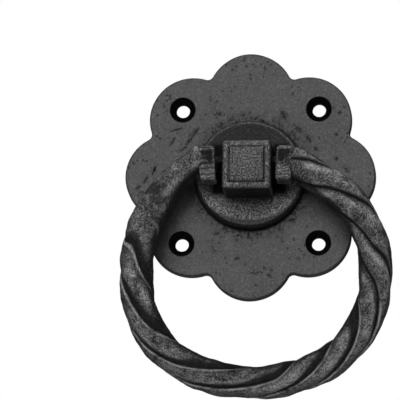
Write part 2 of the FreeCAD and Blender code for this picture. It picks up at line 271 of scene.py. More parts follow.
def midline_stations():
    """Points that the middle of the bar passes, from the right eye to the left one."""
    stations = [eye_centre(1, right_eye_gap)]
    for bearing, radius in MIDLINE:
        angle = math.radians(bearing)
        stations.append(ring_middle + Vector((math.cos(angle), 0, math.sin(angle))) * radius)
    stations.append(eye_centre(-1, left_eye_gap))
    return stations


def smooth_line(stations, count):
    """Evenly dense points of a natural cubic spline through the stations."""
    values = np.array(stations)
    knots = np.concatenate([[0], np.cumsum(np.linalg.norm(np.diff(values, axis=0), axis=1))])
    gaps = np.diff(knots)
    system = np.eye(len(values))
    right = np.zeros_like(values)
    for i in range(1, len(values) - 1):
        system[i, i - 1:i + 2] = gaps[i - 1], 2 * (gaps[i - 1] + gaps[i]), gaps[i]
        right[i] = 6 * ((values[i + 1] - values[i]) / gaps[i]
                        - (values[i] - values[i - 1]) / gaps[i - 1])
    bends = np.linalg.solve(system, right)
    along = np.linspace(0, knots[-1], count)
    span = np.clip(np.searchsorted(knots, along, side="right") - 1, 0, len(gaps) - 1)
    gap = gaps[span][:, None]
    before = (knots[span + 1] - along)[:, None] / gap
    after = 1 - before
    return (before * values[span] + after * values[span + 1]
            + ((before ** 3 - before) * bends[span] + (after ** 3 - after) * bends[span + 1])
            * gap ** 2 / 6)


LINE_POINTS = 4001
line_points = smooth_line(midline_stations(), LINE_POINTS)
line_length = np.concatenate(
    [[0], np.cumsum(np.linalg.norm(np.diff(line_points, axis=0), axis=1))])
bar_length = line_length[-1]


def line_point(along):
    return Vector([np.interp(along, line_length, line_points[:, axis]) for axis in range(3)])


def on_midline(along):
    """Point of the midline and the direction away from the ring's middle."""
    step = 0.2 * MM
    heading = (line_point(along + step) - line_point(along - step)).normalized()
    outward = FRONT.cross(heading)
    return line_point(along), outward.normalized()


def length_at(bearing):
    """Bar length from the right eye to a bearing round the ring's middle."""
    off = line_points - np.array(ring_middle)
    angles = np.unwrap(np.arctan2(off[:, 2], off[:, 0]))
    return float(np.interp(-math.radians(bearing), -angles, line_length))


# Bearings in degrees at which successive grooves meet the outer side, the front and the
# inner side of the ring. The hammered twist is tighter in some places than in others. A
# groove runs from the outer side over the front to the inner side, so the three lists
# start with the grooves -1, 0 and 1.
OUTER_NOTCHES = (47, 19.5, -10, -41, -65.5, -89.5, -130, -156, -177, -193, -217)
FRONT_NOTCHES = (38, 7, -11, -36, -60, -80, -121, -151, -184, -208)
INNER_NOTCHES = (36, 9, -14.6, -43.3, -66, -85, -130, -163, -196)

# Spacing of the grooves beyond the last notch, where the bar runs smooth into the left eye.
LAST_SPACING = 34 * MM

# Place of a strand's crest between its two grooves.
CREST = 0.34


def notch_count(bearings):
    """Number of grooves passed, as a function of the bar length."""
    places = [length_at(bearing) for bearing in bearings]
    first = places[1] - places[0]
    beyond = [places[-1] + LAST_SPACING, places[-1] + 2 * LAST_SPACING]
    places = [places[0] - first] + places + beyond
    counts = list(range(-2, len(bearings) + 1))
    return lambda along: float(np.interp(along, places, counts))


outer_count = notch_count(OUTER_NOTCHES)
front_count = notch_count(FRONT_NOTCHES)
inner_count = notch_count(INNER_NOTCHES)


def grooves_passed(along, angle):
    """Grooves passed up to a bar length, weighed by the side that the angle faces."""
    outer = outer_count(along)
    front = front_count(along)
    inner = inner_count(along)
    out_share = max(0, math.cos(angle)) ** 2
    in_share = max(0, -math.cos(angle)) ** 2
    front_share = max(0, math.sin(angle)) ** 2
    back_share = max(0, -math.sin(angle)) ** 2
    return (outer * (out_share + back_share / 2) + inner * (in_share + back_share / 2)
            + front * front_share)


FLANK_POWER = 1.7
FALL_POWER = 3.4


def strand_fall(place):
    """Depth below the crest: a short flank up from a groove, then a long fall."""
    if place < CREST:
        return (1 - place / CREST) ** FLANK_POWER
    return ((place - CREST) / (1 - CREST)) ** FALL_POWER


# Raised lip along the edge of each groove: its height, and its place and half width as
# shares of a strand. The brightest wear and a painted highlight lie just beside it.
LIP_HEIGHT = 0.22 * MM
LIP_PLACE = 0.88
LIP_WIDTH = 0.05
BRIGHT_PLACE = 0.9
BRIGHT_WIDTH = 0.045

# The strands differ: the usual depth of their grooves as a share of groove_depth, how far
# it varies, and the length over which it does.
DEPTH_SHARE = 1.2
DEPTH_SPREAD = 0.35
DEPTH_LENGTH = 17 * MM
STRAND_APART = 7 * MM


def bar_surface(along, angle):
    """Radius of the bar at an angle from outwards towards the front."""
    position = STRANDS * angle / TURN + grooves_passed(along, angle)
    strand = math.floor(position)
    place = position - strand
    unlike = rough(Vector((along, 0, strand % STRANDS * STRAND_APART)), DEPTH_LENGTH, 3.1)
    depth = groove_depth * (DEPTH_SHARE + DEPTH_SPREAD * unlike)
    lip = LIP_HEIGHT * math.exp(-((place - LIP_PLACE) / LIP_WIDTH) ** 2)
    return bar_radius - (depth * strand_fall(place) - lip) * groove_ease(along)


def neck_ease(along):
    """0 where the bar leaves an eye, 1 where it has its full thickness."""
    from_end = min(along, bar_length - along) / taper_length
    return math.sin(math.pi / 2 * min(from_end, 1))


# Bar lengths between which the low part of the ring passes into its arms.
RIGHT_ARM = (length_at(-8), length_at(-28))
LEFT_ARM = (length_at(-190), length_at(-204))
LEFT_NECK = (length_at(-206), length_at(-217))

# Distances from the eyes at which the grooves begin and reach their full depth.
RIGHT_GROOVES = 10 * MM
LEFT_GROOVES = (24 * MM, 54 * MM)


def groove_ease(along):
    """0 at the eyes. The grooves start close to the right eye and far from the left one."""
    from_right = min(along / RIGHT_GROOVES, 1)
    return math.sin(math.pi / 2 * from_right) * ease_between(bar_length - along, *LEFT_GROOVES)


# The left neck is thinner in the ring's plane, and both necks rise to the top of the eyes.
NECK_THINNING = 0.27
LEFT_RISE = 4 * MM
RIGHT_RISE = 2 * MM


def neck_shape(along):
    """Thinning of the bar and its rise, from its distances to the two eyes."""
    from_left = bar_length - along
    near_left = ease_between(from_left, 36 * MM, 9 * MM) * ease_between(from_left, 1 * MM, 9 * MM)
    left = ease_between(from_left, -2 * MM, 4 * MM) * ease_between(from_left, 30 * MM, 6 * MM)
    right = ease_between(along, -2 * MM, 4 * MM) * ease_between(along, 18 * MM, 5 * MM)
    return NECK_THINNING * near_left, LEFT_RISE * left + RIGHT_RISE * right


def strand_marks(along, angle):
    """Shares of soot and painted shade, of lip wear with painted highlight and of burnished crest with
    painted highlight at one point of the bar.

    Low on the ring the flanks get painted shade, and up on its arms a painted highlight. The sides that
    turn away from the front get painted shade, near the left eye a painted highlight runs along the
    lower front side, and the grooves on the arms hold soot."""
    position = STRANDS * angle / TURN + grooves_passed(along, angle)
    place = position - math.floor(position)
    arm = max(ease_between(along, RIGHT_ARM[1], RIGHT_ARM[0]), ease_between(along, *LEFT_ARM))
    reach = CREST + 0.16 * rough(Vector((along, 4 * MM * angle, 0)), 9 * MM, 5.9)
    flank = ease_between(place, 0, 0.03) * ease_between(place, reach, reach - 0.14)
    groove = (ease_between(place, 0.82, 0.97) + ease_between(place, 0.06, 0)) * groove_ease(along)
    outward = math.cos(angle)
    # Painted shade on the outer and inner sides of the bar, which turn away from the front.
    side = (0.75 * ease_between(outward, 0.45 + 0.35 * arm, 0.95)
            + 0.95 * ease_between(outward, -0.5 - 0.2 * arm, -0.9))
    # Painted shade on the low flanks and the sides, soot in the grooves of the arms.
    soot_and_shade = max(flank * (1 - arm) + groove * arm, side)
    # Lip share: wear and a painted highlight beside each groove.
    lip = math.exp(-((place - BRIGHT_PLACE) / BRIGHT_WIDTH) ** 2) * (1 - 0.6 * arm)
    # Crest share: burnished low on the ring, a painted highlight on the flanks of the arms that face
    # outwards and up.
    crest = bump_between(place, 0.25, 0.85) * (1 - arm) + bump_between(place, 0.03, 0.55) * arm
    near_eye = ease_between(along, *LEFT_NECK)
    # Painted highlight along the lower front side of the bar near the left eye.
    ridge = bump_between(outward, -0.85, 0) if math.sin(angle) > 0 else 0
    return soot_and_shade, lip, crest * (1 - side) * (1 - near_eye) + ridge * near_eye


BAR_AROUND = 160
BAR_ALONG = 520

# Share of its full width that the bar keeps in the ring's plane where it leaves an eye.
NECK_WIDTH = 0.94

# Hammer marks on the bar, from the flats down to the grain: height, size and seed.
HAMMER_MARKS = (
    (0.34 * MM, 6 * MM, 1.3),
    (0.12 * MM, 2.1 * MM, 4.7),
    (0.05 * MM, 1.0 * MM, 7.9),
)


def make_bar():
    """Twisted bar from the right eye to the left one, with its marks kept at each point."""
    bm = bmesh.new()
    layers = [bm.verts.layers.float.new(name) for name in ("soot_and_shade", "lip", "crest")]
    frames = [on_midline(bar_length * i / BAR_ALONG) for i in range(BAR_ALONG + 1)]

    def place(u, v):
        angle = TURN * u
        index = round(v * BAR_ALONG)
        point, outward = frames[index]
        ease = neck_ease(bar_length * v)
        flat = neck_radius / bar_radius
        thin, lift = neck_shape(bar_length * v)
        spoke = (outward * math.cos(angle) * (NECK_WIDTH + (1 - NECK_WIDTH) * ease - thin)
                 + FRONT * math.sin(angle) * (flat + (1 - flat) * ease))
        surface = point + UP * lift + spoke * bar_surface(bar_length * v, angle)
        return surface + spoke * relief(surface, HAMMER_MARKS)

    verts = skin(bm, BAR_AROUND, BAR_ALONG, place)
    for index, vert in enumerate(verts):
        row, column = divmod(index, BAR_AROUND + 1)
        marks = strand_marks(bar_length * row / BAR_ALONG, TURN * column / BAR_AROUND)
        for layer, mark in zip(layers, marks):
            vert[layer] = mark
    close_skin(bm, verts)
    rims = [edge for edge in bm.edges if edge.is_boundary]
    bmesh.ops.holes_fill(bm, edges=rims, sides=0)
    bmesh.ops.recalc_face_normals(bm, faces=bm.faces)
    return as_object(bm, "twisted_ring")


def rounded_box(bm, half, radius, cuts):
    """Cube with many faces whose edges and corners are rounded."""
    bmesh.ops.create_cube(bm, size=2)
    bmesh.ops.subdivide_edges(bm, edges=bm.edges[:], cuts=cuts, use_grid_fill=True)
    core = half - Vector((radius, radius, radius))
    for vert in bm.verts:
        point = Vector([vert.co[axis] * half[axis] for axis in range(3)])
        inner = Vector([max(-core[axis], min(core[axis], point[axis])) for axis in range(3)])
        vert.co = inner + (point - inner).normalized() * radius


EYE_CUTS = 31
EYE_ROUND = 1.3 * MM
HOLLOW_DEPTH = 0.9 * MM
LUMP_HEIGHT = 1.2 * MM
EYE_LEAN = 0.35 * MM
EYE_MARKS = ((0.16 * MM, 2.6 * MM, 6.1),)


def make_eye(side, gap):
    """Hammered end of the bar: a hollow in the upper half of its front and a lump below."""
    bm = bmesh.new()
    half = Vector((eye_length, eye_depth, eye_height)) / 2
    rounded_box(bm, half, EYE_ROUND, EYE_CUTS)
    centre = eye_centre(side, gap)
    for vert in bm.verts:
        across, depth, up = vert.co
        front_share = ease_between(-depth / half.y, 0, 0.8)
        level = up / half.z
        inside = 1 - ease_between(abs(across / half.x), 0.55, 0.8)
        hollow = inside * ease_between(level, 0.84, 0.66) * ease_between(level, -0.02, 0.16)
        lump = bump_between(level, -1.15, 0.12) * (1 - 0.45 * (across / half.x) ** 2)
        vert.co.y += front_share * (HOLLOW_DEPTH * hollow - LUMP_HEIGHT * lump)
        vert.co.x += side * EYE_LEAN * level
        vert.co += vert.normal * relief(vert.co + centre, EYE_MARKS)
        vert.co += centre
    bmesh.ops.recalc_face_normals(bm, faces=bm.faces)
    return as_object(bm, "eye")


ROD_SEGMENTS = 64


def rod(name, start, end, radius):
    """Round rod along X from one point to another."""
    bm = bmesh.new()
    middle = (start + end) / 2
    place = Matrix.Translation(middle) @ Matrix.Rotation(math.pi / 2, 4, "Y")
    bmesh.ops.create_cone(bm, cap_ends=True, segments=ROD_SEGMENTS, radius1=radius,
                          radius2=radius, depth=(end - start).length, matrix=place)
    bmesh.ops.recalc_face_normals(bm, faces=bm.faces)
    return as_object(bm, name)


def make_ring():
    """The bar with an eye and a peg joined to each end."""
    ring = make_bar()
    for side, gap in ((1, right_eye_gap), (-1, left_eye_gap)):
        eye = make_eye(side, gap)
        centre = eye_centre(side, gap)
        tip = Vector((side * (block_width / 2 - peg_bite), pivot.y, pivot.z))
        combine(eye, rod("peg", tip, centre, peg_radius), "UNION")
        combine(ring, eye, "UNION")
    return ring


# Rose: eight lobes with a soft edge, four countersunk holes and a recess

soft_edge = 0.55 * MM
back_edge = 0.4 * MM
bore_radius = journal_radius + 0.1 * MM
lobe_centre = rose_reach - lobe_radius


def rose_outline(angle, inset):
    """Distance from the axis to the edge of the rose, drawn in by an inset."""
    pitch = TURN / LOBES
    off_lobe = abs((angle + pitch / 2) % pitch - pitch / 2)
    off_valley = pitch / 2 - off_lobe
    lobe = lobe_radius - inset
    valley = valley_round + inset
    half = pitch / 2
    valley_centre = (lobe_centre * math.cos(half)
                     + math.sqrt((lobe + valley) ** 2 - (lobe_centre * math.sin(half)) ** 2))
    edge_x = lobe_centre + (valley_centre * math.cos(half) - lobe_centre) * lobe / (lobe + valley)
    edge_z = valley_centre * math.sin(half) * lobe / (lobe + valley)
    if off_lobe < math.atan2(edge_z, edge_x):
        return (lobe_centre * math.cos(off_lobe)
                + math.sqrt(lobe ** 2 - (lobe_centre * math.sin(off_lobe)) ** 2))
    return (valley_centre * math.cos(off_valley)
            - math.sqrt(max(0, valley ** 2 - (valley_centre * math.sin(off_valley)) ** 2)))


# Dents and chisel marks in the face of the rose, in millimetres: across, up,
# half length, half width, lean in degrees and depth.
DENTS = (
    (36.2, 26.2, 0.7, 0.6, 0, 0.35),
    (35, 17.2, 0.8, 0.6, 20, 0.35),
    (35.1, 6.9, 0.8, 0.7, 0, 0.35),
    (39, 2.5, 2.2, 0.9, -40, 0.25),
    (16.9, -18.2, 1.6, 0.5, 15, 0.45),
    (13.5, -18.6, 1.1, 0.4, 25, 0.3),
    (-5.2, -34.1, 1.2, 0.7, 10, 0.3),
    (-9.3, -21.6, 2.4, 0.5, 8, 0.4),
    (-13.4, -23.7, 1.6, 0.5, 20, 0.35),
    (2, -40, 2.6, 0.8, 5, 0.22),
    (7.9, -41.3, 1.6, 1.2, 30, 0.25),
    (-39.3, 2.7, 2.4, 0.5, 68, 0.4),
    (-42.6, -1.1, 1.8, 0.45, 60, 0.4),
    (-45.7, -4.5, 1.4, 0.4, 45, 0.35),
    (-49.6, 4, 0.7, 0.4, 70, 0.3),
    (-47.8, 5.7, 0.5, 0.4, 0, 0.3),
    (-32, 14.5, 2.6, 0.5, 60, 0.3),
    (-27.6, 11.5, 2.2, 0.5, 35, 0.3),
    (-30.5, 19.5, 2.2, 0.5, 15, 0.28),
    (-22.5, 18.5, 2.2, 0.5, 55, 0.4),
    (-25, 14.8, 1.8, 0.45, 50, 0.35),
    (-13.2, 26.2, 2.4, 1.1, 10, 0.3),
    (-3, 25.6, 2.0, 0.8, -5, 0.25),
    (13.3, 25.4, 2.2, 0.6, -65, 0.5),
    (19.5, 19.5, 2.6, 1.0, -45, 0.4),
    (23.5, 15.5, 2.4, 0.8, -50, 0.35),
    (27, 11, 2.0, 0.9, -35, 0.3),
    (-7.6, 44.3, 0.5, 0.35, 0, 0.3),
    (-2.8, 48.3, 0.5, 0.35, 0, 0.25),
)
DENT_TABLE = np.array(DENTS)
DENT_WIDENING = 1.3
SHALLOWEST_DENT = 0.001
DENT_RAGGEDNESS = 0.5
DENT_GRAIN = 0.9 * MM


def dent_depth(point):
    """Depth of the dents at a point of the rose's face."""
    across, up, length, width, lean, deep = DENT_TABLE.T
    off_x = point.x / MM - across
    off_z = point.z / MM - up
    along = (off_x * np.cos(np.radians(lean)) + off_z * np.sin(np.radians(lean))) / length
    aside = (off_z * np.cos(np.radians(lean)) - off_x * np.sin(np.radians(lean))) / width
    aside /= DENT_WIDENING
    depth = float((deep * np.exp(-along ** 2 - aside ** 2)).sum())
    if depth < SHALLOWEST_DENT:
        return 0
    return depth * MM * (1 + DENT_RAGGEDNESS * rough(point, DENT_GRAIN, 3.7))


ROSE_AROUND = 640
FACE_LOOPS = 100
EDGE_LOOPS = 6

# Wander of the rose's outline, and the casting marks of its face: height, size and seed.
OUTLINE_MARKS = ((0.12 * MM, 11 * MM, 8.3),)
FACE_MARKS = (
    (0.07 * MM, 6 * MM, 2.9),
    (0.05 * MM, 2.2 * MM, 5.3),
    (0.03 * MM, 1.1 * MM, 9.1),
)
MARKS_FADE = 1.5 * MM


def rose_profile():
    """Loops from the bore over the front, round the edge and back to the bore.

    Each is the share of the way to the outline, its inset and its depth."""
    loops = []
    for i in range(FACE_LOOPS):
        loops.append((i / FACE_LOOPS, soft_edge, rose_depth))
    for i in range(EDGE_LOOPS + 1):
        turn = math.pi / 2 * i / EDGE_LOOPS
        loops.append((1, soft_edge * (1 - math.sin(turn)),
                      rose_depth - soft_edge * (1 - math.cos(turn))))
    loops.append((1, 0, (rose_depth - soft_edge + back_edge) / 2))
    loops.append((1, 0, back_edge))
    loops.append((1, back_edge, 0))
    return loops


def make_rose():
    """Rose plate with its recess behind, its marked face and its four screw holes."""
    bm = bmesh.new()
    loops = rose_profile()
    recess = recess_width / 2
    inner = [(recess, 0), (recess, recess_depth),
             (bore_radius, recess_depth), (bore_radius, rose_depth)]
    count = len(loops) + len(inner) - 1

    def place(u, v):
        angle = TURN * u
        index = round(v * count)
        spoke = Vector((math.cos(angle), 0, math.sin(angle)))
        if index < len(loops):
            share, inset, depth = loops[index]
            reach = bore_radius + share * (rose_outline(angle, inset) - bore_radius)
        else:
            reach, depth = inner[index - len(loops)]
            share = 0
        point = spoke * reach + FRONT * depth
        if share > 0:
            point += spoke * share * relief(spoke * rose_reach, OUTLINE_MARKS)
            if depth > rose_depth / 2 and reach > collar_radius:
                fade = min(1, (reach - collar_radius) / MARKS_FADE)
                point += FRONT * fade * (relief(point, FACE_MARKS) - dent_depth(point))
        return point

    verts = skin(bm, ROSE_AROUND, count, place)
    close_skin(bm, verts)
    rose = as_object(bm, "rose_plate")
    for turn in range(4):
        angle = TURN / 8 + TURN / 4 * turn
        centre = Vector((math.cos(angle), 0, math.sin(angle))) * screw_circle / 2
        combine(rose, countersink(centre), "DIFFERENCE")
    return rose


HOLE_SEGMENTS = 64


def countersink(centre):
    """Cutter for one screw hole: a round shank that opens into a cone."""
    bm = bmesh.new()
    slope = (screw_head - screw_hole) / 2
    over = 1 * MM
    profile = [(0, -over), (screw_hole / 2, -over), (screw_hole / 2, rose_depth - slope),
               (screw_head / 2, rose_depth), (screw_head / 2 + over, rose_depth + over),
               (0, rose_depth + over)]
    turned(bm, profile, HOLE_SEGMENTS)
    bmesh.ops.translate(bm, verts=bm.verts, vec=centre)
    return as_object(bm, "countersink")


def turned(bm, profile, steps):
    """Closed solid turned about the axis of the rose from radius and depth pairs."""
    verts = [bm.verts.new(Vector((radius, -depth, 0))) for radius, depth in profile]
    edges = [bm.edges.new(pair) for pair in zip(verts, verts[1:])]
    bmesh.ops.spin(bm, geom=verts + edges, cent=(0, 0, 0), axis=(0, 1, 0), dvec=(0, 0, 0),
                   angle=TURN, steps=steps, use_merge=True, use_normal_flip=False, use_duplicate=False)
    close_skin(bm, bm.verts)


# Knuckle: dished collar, square block with a raised panel, journal and socket

def arc(centre, radius, start, end, steps):
    """Points of an arc in the plane of radius and depth, angles in degrees."""
    points = []
    for i in range(steps + 1):
        angle = math.radians(start + (end - start) * i / steps)
        points.append((centre[0] + radius * math.cos(angle), centre[1] + radius * math.sin(angle)))
    return points


# Groove of the journal: the spring ring sits in it, against the washer in the recess.
groove_front = recess_depth - (washer_high.y - washer_low.y)
groove_back = groove_front - (clip_high.y - clip_low.y) - clip_play
groove_radius = journal_radius - clip_bite

journal_chamfer = 0.5 * MM
collar_chamfer = 0.3 * MM
collar_bulge = 0.3 * MM
collar_lip = 0.45 * MM
dish_start = dish_radius - 0.4 * MM
DISH_STEPS = 24


def collar_profile():
    """Radius and depth from the end of the journal out to the collar and into its dish."""
    face = collar_back + collar_depth
    rim = collar_radius - collar_taper
    sphere = (dish_radius ** 2 + dish_depth ** 2) / (2 * dish_depth)
    points = [(0, journal_back), (journal_radius - journal_chamfer, journal_back),
              (journal_radius, journal_back + journal_chamfer),
              (journal_radius, groove_back), (groove_radius, groove_back),
              (groove_radius, groove_front), (journal_radius, groove_front),
              (journal_radius, collar_back), (collar_radius - collar_chamfer, collar_back),
              (collar_radius, collar_back + collar_chamfer)]
    for share in (0.25, 0.5, 0.75):
        bulge = collar_bulge * math.sin(math.pi * share)
        points.append((collar_radius - collar_taper * share + bulge,
                       collar_back + collar_depth * share))
    points += arc((rim - collar_lip, face - collar_lip), collar_lip, 20, 100, 5)
    for i in range(1, DISH_STEPS + 1):
        radius = dish_start * (1 - i / DISH_STEPS)
        points.append((radius, face - dish_depth + sphere - math.sqrt(sphere ** 2 - radius ** 2)))
    return points


BLOCK_ROUND = 1.5 * MM
BLOCK_SEGMENTS = 4
line_width = 0.25 * MM

# Width and rise of each inset of the block's front: the flat border, the side and the
# floor of the fine line, and the side and the rounded edge of the raised panel.
PANEL_STEPS = (
    ((block_width - panel_width) / 2 - BLOCK_ROUND - line_width, 0),
    (line_width, -0.35 * MM),
    (0.12 * MM, 0),
    (0.35 * MM, 1.0 * MM),
    (0.5 * MM, 0.35 * MM),
)


def make_block():
    """Square block whose front is inset, sunk in a fine line and raised again."""
    bm = bmesh.new()
    root = collar_back + collar_depth / 2
    bmesh.ops.create_cube(bm, size=1)
    bmesh.ops.scale(bm, verts=bm.verts, vec=(block_width, block_front - root, block_width))
    bmesh.ops.translate(bm, verts=bm.verts, vec=FRONT * (block_front + root) / 2)
    edges = [edge for edge in bm.edges if min(vert.co.y for vert in edge.verts) < -root - MM]
    bmesh.ops.bevel(bm, geom=edges, offset=BLOCK_ROUND, segments=BLOCK_SEGMENTS, profile=0.5,
                    affect="EDGES", material=-1)
    front = min(bm.faces, key=lambda face: face.calc_center_median().y)
    for width, rise in PANEL_STEPS:
        bmesh.ops.inset_region(bm, faces=[front], thickness=width, depth=rise, use_even_offset=True)
    bmesh.ops.recalc_face_normals(bm, faces=bm.faces)
    return as_object(bm, "block")


COLLAR_SEGMENTS = 160
peg_bore_depth = 6.5 * MM
peg_play = 0.06 * MM


def make_knuckle():
    """Collar and journal with the block on it, its two peg bores and its square socket."""
    bm = bmesh.new()
    turned(bm, collar_profile(), COLLAR_SEGMENTS)
    knuckle = as_object(bm, "turning_knuckle")
    combine(knuckle, make_block(), "UNION")
    for side in (1, -1):
        outer = Vector((side * (block_width / 2 + MM), pivot.y, pivot.z))
        inner = Vector((side * (block_width / 2 - peg_bore_depth), pivot.y, pivot.z))
        combine(knuckle, rod("bore", inner, outer, peg_radius + peg_play), "DIFFERENCE")
    bm = bmesh.new()
    bmesh.ops.create_cube(bm, size=1)
    bmesh.ops.scale(bm, verts=bm.verts, vec=(spindle_width, 2 * spindle_depth, spindle_width))
    bmesh.ops.translate(bm, verts=bm.verts, vec=FRONT * journal_back)
    combine(knuckle, as_object(bm, "socket"), "DIFFERENCE")
    return knuckle


def smooth_by_angle(piece, degrees):
    """Smooth shading that keeps edges sharper than an angle crisp."""
    piece.data.shade_smooth()
    piece.data.set_sharp_from_angle(angle=math.radians(degrees))


# Finishes. A node tree is written as a chain of small steps.

class Steps:
    """Adds nodes to one tree and links them as they are made."""

    def __init__(self, tree):
        self.tree = tree

    def node(self, kind, **settings):
        made = self.tree.nodes.new(kind)
        for name, value in settings.items():
            setattr(made, name, value)
        return made

    def feed(self, socket, value):
        if hasattr(value, "is_output"):
            self.tree.links.new(value, socket)
        else:
            socket.default_value = value

    def maths(self, operation, *values, clamp=False):
        made = self.node("ShaderNodeMath", operation=operation, use_clamp=clamp)
        for socket, value in zip(made.inputs, values):
            self.feed(socket, value)
        return made.outputs[0]

    def noise(self, where, scale, detail=2.0, roughness=0.5):
        made = self.node("ShaderNodeTexNoise")
        self.feed(made.inputs["Vector"], where)
        self.feed(made.inputs["Scale"], scale)
        made.inputs["Detail"].default_value = detail
        made.inputs["Roughness"].default_value = roughness
        return made.outputs["Fac"]

    def cells(self, where, scale, smooth=0.6):
        made = self.node("ShaderNodeTexVoronoi", feature="SMOOTH_F1")
        self.feed(made.inputs["Vector"], where)
        self.feed(made.inputs["Scale"], scale)
        made.inputs["Smoothness"].default_value = smooth
        return made.outputs["Distance"]

    def ramp(self, value, low, high, to_low=0.0, to_high=1.0, smooth=True):
        made = self.node("ShaderNodeMapRange",
                         interpolation_type="SMOOTHSTEP" if smooth else "LINEAR")
        for socket, given in zip(made.inputs, (value, low, high, to_low, to_high)):
            self.feed(socket, given)
        return made.outputs[0]

    def blend(self, share, first, second):
        made = self.node("ShaderNodeMix", data_type="RGBA")
        self.feed(made.inputs[0], share)
        self.feed(made.inputs[6], first)
        self.feed(made.inputs[7], second)
        return made.outputs[2]


def grey(tone):
    """Near-neutral colour of blackened iron at a linear tone."""
    return (tone, tone * 0.99, tone * 0.985, 1)


def shader_group(name, inputs, outputs):
    group = bpy.data.node_groups.new(name, "ShaderNodeTree")
    for socket in inputs:
        group.interface.new_socket(socket, in_out="INPUT", socket_type="NodeSocketFloat")
    for socket in outputs:
        group.interface.new_socket(socket, in_out="OUTPUT", socket_type="NodeSocketFloat")
    entry = group.nodes.new("NodeGroupInput")
    leave = group.nodes.new("NodeGroupOutput")
    return group, entry, leave


def make_forge_skin():
    """Grain, mottle, scale pits and hammer dimples of blackened iron."""
    group, entry, leave = shader_group(
        "forge skin", ("Grain", "Mottle", "Pits", "Dimples"), ("Tone", "Roughness", "Height"))
    steps = Steps(group)
    where = steps.node("ShaderNodeTexCoord").outputs["Object"]
    fine = steps.ramp(steps.noise(where, 2300, 2.0, 0.6), 0.36, 0.66)
    grit = steps.ramp(steps.noise(where, 1500, 2.0, 0.6), 0.36, 0.66)
    mottle = steps.noise(where, 260, 3.0, 0.6)
    cloud = steps.noise(where, 75, 2.0, 0.5)
    pit_cell = steps.cells(where, 420)
    pit_spread = steps.ramp(steps.noise(where, 120, 1.0), 0.42, 0.62)
    pits = steps.maths("MULTIPLY", steps.ramp(pit_cell, 0.30, 0.12), pit_spread)
    dimple = steps.cells(where, 210, 1.0)

    def centred(value, amount):
        return steps.maths("MULTIPLY", steps.maths("SUBTRACT", value, 0.5), amount)

    grain_in, mottle_in, pits_in, dimples_in = entry.outputs[:4]
    tone = steps.maths("ADD", centred(fine, steps.maths("MULTIPLY", grain_in, 0.5)),
                       centred(grit, grain_in))
    tone = steps.maths("ADD", tone, centred(mottle, mottle_in))
    tone = steps.maths("ADD", tone, centred(cloud, mottle_in))
    tone = steps.maths("SUBTRACT", tone, steps.maths("MULTIPLY", pits, pits_in))
    steps.feed(leave.inputs["Tone"], steps.maths("ADD", tone, 0.5, clamp=True))
    roughness = steps.maths("ADD", 0.5, centred(grit, 0.5))
    roughness = steps.maths("ADD", roughness, centred(mottle, 0.35), clamp=True)
    steps.feed(leave.inputs["Roughness"], roughness)
    height = steps.maths("ADD", centred(fine, steps.maths("MULTIPLY", grain_in, 0.3)),
                         centred(grit, steps.maths("MULTIPLY", grain_in, 0.7)))
    height = steps.maths("ADD", height, centred(mottle, steps.maths("MULTIPLY", mottle_in, 1.2)))
    height = steps.maths("SUBTRACT", height, steps.maths("MULTIPLY", pits, pits_in))
    height = steps.maths("ADD", height, steps.maths("MULTIPLY", dimple, dimples_in))
    steps.feed(leave.inputs["Height"], height)
    return group


forge_skin = make_forge_skin()


def new_finish(name):
    material = bpy.data.materials.new(name)
    material.use_nodes = True
    material.node_tree.nodes.clear()
    steps = Steps(material.node_tree)
    shader = steps.node("ShaderNodeBsdfPrincipled")
    output = steps.node("ShaderNodeOutputMaterial")
    steps.tree.links.new(shader.outputs[0], output.inputs["Surface"])
    return material, steps, shader


def iron_skin(steps, grain, mottle, pits, dimples):
    made = steps.node("ShaderNodeGroup", node_tree=forge_skin)
    for socket, value in zip(made.inputs, (grain, mottle, pits, dimples)):
        socket.default_value = value
    return made.outputs


# Marks darker than this share of a finish's dark tone, soot and painted shade alike, show as dark metal
# without a pale sheen.
SOOT_AND_SHADE_LIMIT = 1.3


def finish_iron(name, dark, light, roughness, metal, skin_values, bump_depth, shade=None):
    """Blackened iron from a dark to a light tone, with marks laid over it in turn."""
    material, steps, shader = new_finish(name)
    tone, rough_share, height = iron_skin(steps, *skin_values)
    colour = steps.blend(tone, grey(dark), grey(light))
    shine = metal
    if shade:
        for mask, target in shade(steps):
            colour = steps.blend(mask, colour, grey(target))
            if target < dark * SOOT_AND_SHADE_LIMIT:
                shine = steps.maths("MAXIMUM", shine, mask)
    steps.feed(shader.inputs["Base Color"], colour)
    steps.feed(shader.inputs["Metallic"], shine)
    steps.feed(shader.inputs["Roughness"],
               steps.ramp(rough_share, 0, 1, roughness[0], roughness[1], smooth=False))
    bump = steps.node("ShaderNodeBump")
    bump.inputs["Distance"].default_value = bump_depth
    steps.feed(bump.inputs["Height"], height)
    steps.feed(shader.inputs["Normal"], bump.outputs[0])
    return material


# Linear tones of the marks on the ring, the rose and the knuckle. Beside real soot, wear and dents, many
# of them are painted shade and painted highlights; the masks below say which.
RING_TONES = {
    "dull": 0.018,
    "burnish_and_highlight": 0.38,
    "proud": 0.36,
    "soot_and_shade": 0.014,
    "sunk": 0.01,
    "lip": 0.42,
    "facet": 0.022,
    "peg": 0.004,
}
ROSE_TONES = {
    "soot_and_shade": 0.008,
    "behind": 0.012,
    "dented": 0.012,
    "outline": 0.012,
    "close": 0.006,
    "in_hole": 0.006,
}
KNUCKLE_TONES = {
    "upper": 0.014,
    "lower_highlight": 0.24,
    "crescent": 0.02,
    "side": 0.006,
    "beside": 0.003,
    "under": 0.004,
}

PEG_EDGE = 0.6 * MM
FACET_PLACE = Vector((-0.3 * MM, 0, 3.2 * MM))
FACET_EDGE = (2.6 * MM, 1.7 * MM)


